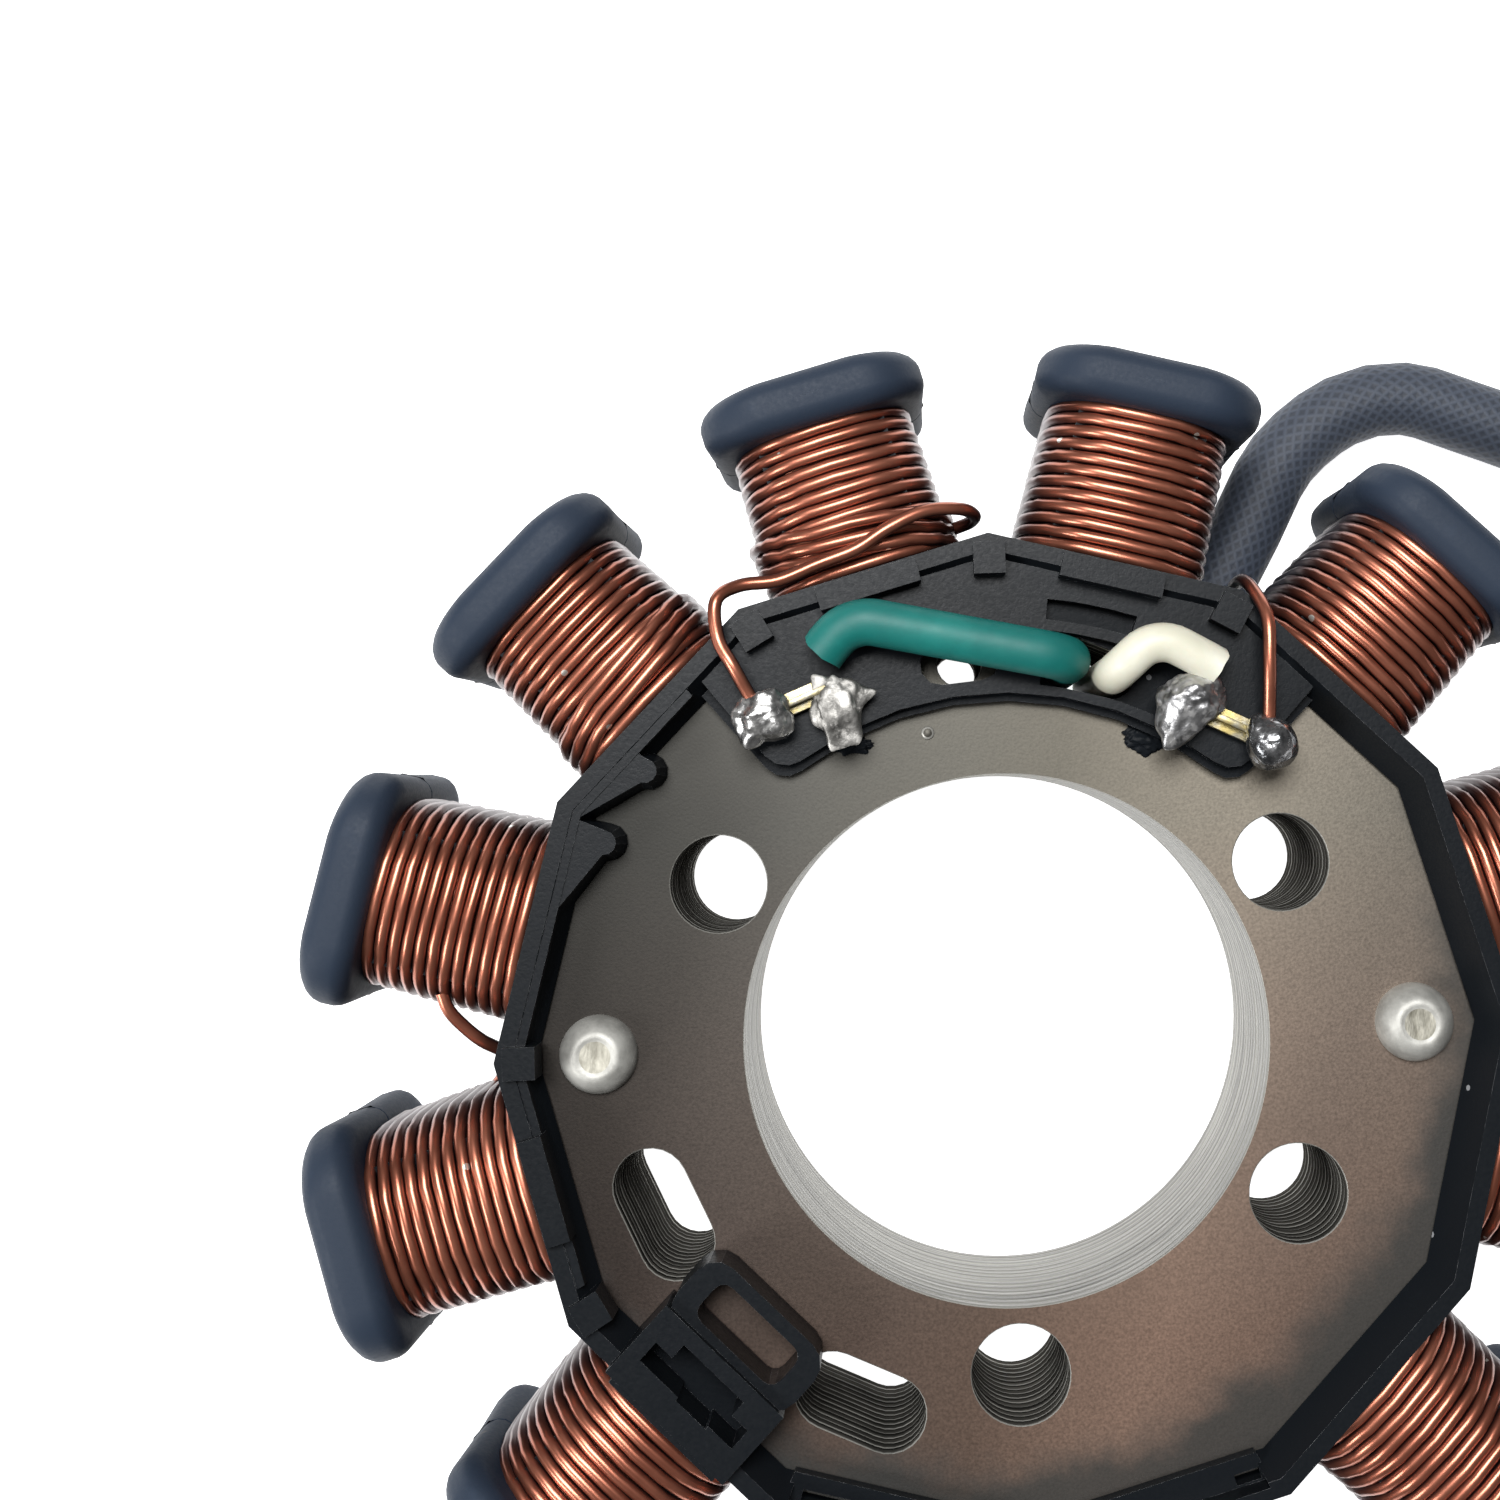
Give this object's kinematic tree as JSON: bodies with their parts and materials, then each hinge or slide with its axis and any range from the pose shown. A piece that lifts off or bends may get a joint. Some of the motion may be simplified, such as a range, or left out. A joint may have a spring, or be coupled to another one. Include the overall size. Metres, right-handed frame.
{
  "type": "wound stator",
  "caption": "Wound stator: a riveted ring of steel laminations with salient poles, black moulded insulators, enamelled copper windings, and two leads in a woven sleeve.",
  "frame": {"origin": "on the stator's axis, at the surface that its rear flanges rest on", "axes": "+Z along the stator's axis towards its front with the terminal plate, +X towards the right rivet, +Y towards the terminal plate"},
  "size_m": [0.1713, 0.1273, 0.0253],
  "materials": {
    "steel": "grainy satin sheet steel",
    "moulding": "black satin, scuffed edges",
    "copper": "glossy red-brown enamel on copper",
    "rivet": "bright steel",
    "solder": "bright tin solder",
    "brass": "brass sheet",
    "green_insulation": "satin green",
    "white_insulation": "satin cream white",
    "woven_sleeve": "woven dark glass fibre",
    "nylon": "natural nylon"
  },
  "bodies": {
    "root": {"coil_01": "copper", "coil_02": "copper", "coil_03": "copper", "coil_04": "copper", "coil_05": "copper", "coil_06": "copper", "coil_07": "copper", "coil_08": "copper", "coil_09": "copper", "coil_10": "copper", "coil_11": "copper", "coil_12": "copper", "connector_housing": "nylon", "connector_pin_1": "brass", "connector_pin_2": "brass", "core_stack": "steel", "front_insulator": "moulding", "harness_coil": "woven_sleeve", "harness_sleeve": "woven_sleeve", "harness_tail": "woven_sleeve", "lead_green": "green_insulation", "lead_white": "white_insulation", "rear_insulator": "moulding", "rivet_left": "rivet", "rivet_right": "rivet", "solder_lead_left": "solder", "solder_lead_right": "solder", "solder_winding_left": "solder", "solder_winding_right": "solder", "terminal_left": "brass", "terminal_right": "brass", "winding_end_left": "copper", "winding_end_right": "copper", "winding_link": "copper"}
  },
  "joints": []
}
